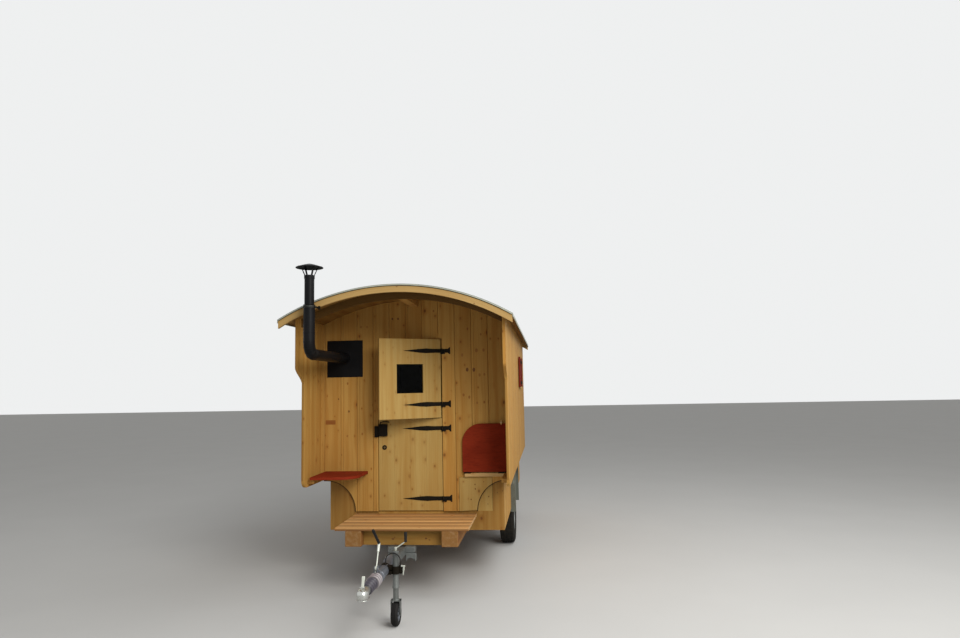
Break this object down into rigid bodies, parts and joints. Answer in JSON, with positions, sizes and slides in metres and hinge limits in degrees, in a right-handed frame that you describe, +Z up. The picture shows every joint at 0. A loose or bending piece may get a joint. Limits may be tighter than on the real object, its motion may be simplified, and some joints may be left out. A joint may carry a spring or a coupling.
{
  "type": "shepherds hut",
  "caption": "Barrel-roofed wooden living hut on a braked trailer, with a split door, porch deck, folding seats and an outside flue.",
  "frame": {"origin": "on the ground under the middle of the whole vehicle, hitch included", "axes": "+X to the right of someone facing the door, +Y from the door into the hut, +Z up"},
  "size_m": [2.272, 6.344, 3.216],
  "materials": {
    "spruce": "oiled golden spruce boards",
    "door_wood": "paler oiled spruce",
    "red_wood": "dark red painted board",
    "roof_metal": "light grey sheet",
    "black_iron": "matt black steel",
    "galvanised": "galvanised steel",
    "cast_grey": "grey painted casting",
    "rubber": "black rubber",
    "tyre": "black tyre",
    "glass": "clear pane before a dark room"
  },
  "bodies": {
    "hut": {"floor": "spruce", "sill_left": "spruce", "sill_right": "spruce", "cross_plank": "spruce", "deck": "spruce", "front_wall_left": "spruce", "front_wall_right": "spruce", "front_wall_over_door": "spruce", "front_wall_under_door": "spruce", "side_wall_right": "spruce", "side_wall_left": "spruce", "lower_wall_right": "spruce", "lower_wall_left": "spruce", "rear_wall": "spruce", "roof_boards": "spruce", "roof_sheet": "roof_metal", "fascia_front": "spruce", "fascia_rear": "spruce", "arch_rib": "spruce", "ridge_purlin": "spruce", "hinge_plates": "black_iron", "hatch": "spruce", "flue_plate": "black_iron", "flue_pipe": "black_iron", "flue_clamp": "black_iron", "flue_cap": "black_iron", "window_pane_right": "glass", "window_pane_left": "glass", "shutter_right_front": "red_wood", "shutter_right_rear": "red_wood", "shutter_left_front": "red_wood", "shutter_left_rear": "red_wood", "axle": "galvanised", "wheel_housing_right": "galvanised", "wheel_housing_left": "galvanised", "drawbar": "galvanised", "hitch_housing": "cast_grey", "bellows": "rubber", "coupling_head": "cast_grey", "jockey_tube": "galvanised", "brake_cable": "rubber"},
    "door_lower_leaf": {"door_lower": "door_wood", "strap_lower_bottom": "black_iron", "strap_lower_top": "black_iron", "lock": "black_iron"},
    "door_upper_leaf": {"door_upper": "door_wood", "door_pane": "glass", "strap_upper_bottom": "black_iron", "strap_upper_top": "black_iron"},
    "seat_left_flap": {"seat_left": "red_wood"},
    "seat_right_flap": {"seat_right": "red_wood"},
    "wheel_left": {"rim_left": "galvanised", "tyre_left": "tyre"},
    "wheel_right": {"rim_right": "galvanised", "tyre_right": "tyre"},
    "handbrake": {"handbrake_lever": "galvanised"},
    "jockey_roller": {"jockey_wheel": "rubber"},
    "crank": {"jockey_crank": "galvanised"}
  },
  "joints": [
    {"name": "door_lower_hinge", "type": "hinge", "parent": "hut", "child": "door_lower_leaf", "pos_m": [0.2965, -0.961, 1.2], "axis": [0, 0, 1], "range_deg": [0, 95]},
    {"name": "door_upper_hinge", "type": "hinge", "parent": "hut", "child": "door_upper_leaf", "pos_m": [0.2965, -0.961, 2.12], "axis": [0, 0, 1], "range_deg": [-31, 69]},
    {"name": "seat_left_fold", "type": "hinge", "parent": "hut", "child": "seat_left_flap", "pos_m": [-0.75, -0.984, 1.105], "axis": [-1, 0, 0], "range_deg": [0, 90]},
    {"name": "seat_right_fold", "type": "hinge", "parent": "hut", "child": "seat_right_flap", "pos_m": [0.75, -0.984, 1.105], "axis": [1, 0, 0], "range_deg": [0, 90]},
    {"name": "wheel_left_spin", "type": "hinge", "parent": "hut", "child": "wheel_left", "pos_m": [-0.8825, 0.808, 0.345], "axis": [-1, 0, 0], "continuous": true},
    {"name": "wheel_right_spin", "type": "hinge", "parent": "hut", "child": "wheel_right", "pos_m": [0.8825, 0.808, 0.345], "axis": [-1, 0, 0], "continuous": true},
    {"name": "handbrake_pull", "type": "hinge", "parent": "hut", "child": "handbrake", "pos_m": [0, -2.692, 0.547], "axis": [1, 0, 0], "range_deg": [0, 40]},
    {"name": "jockey_spin", "type": "hinge", "parent": "hut", "child": "jockey_roller", "pos_m": [0.098, -2.402, 0.1], "axis": [-1, 0, 0], "continuous": true},
    {"name": "crank_turn", "type": "hinge", "parent": "hut", "child": "crank", "pos_m": [0.098, -2.402, 0.64], "axis": [0, 0, 1], "continuous": true}
  ]
}
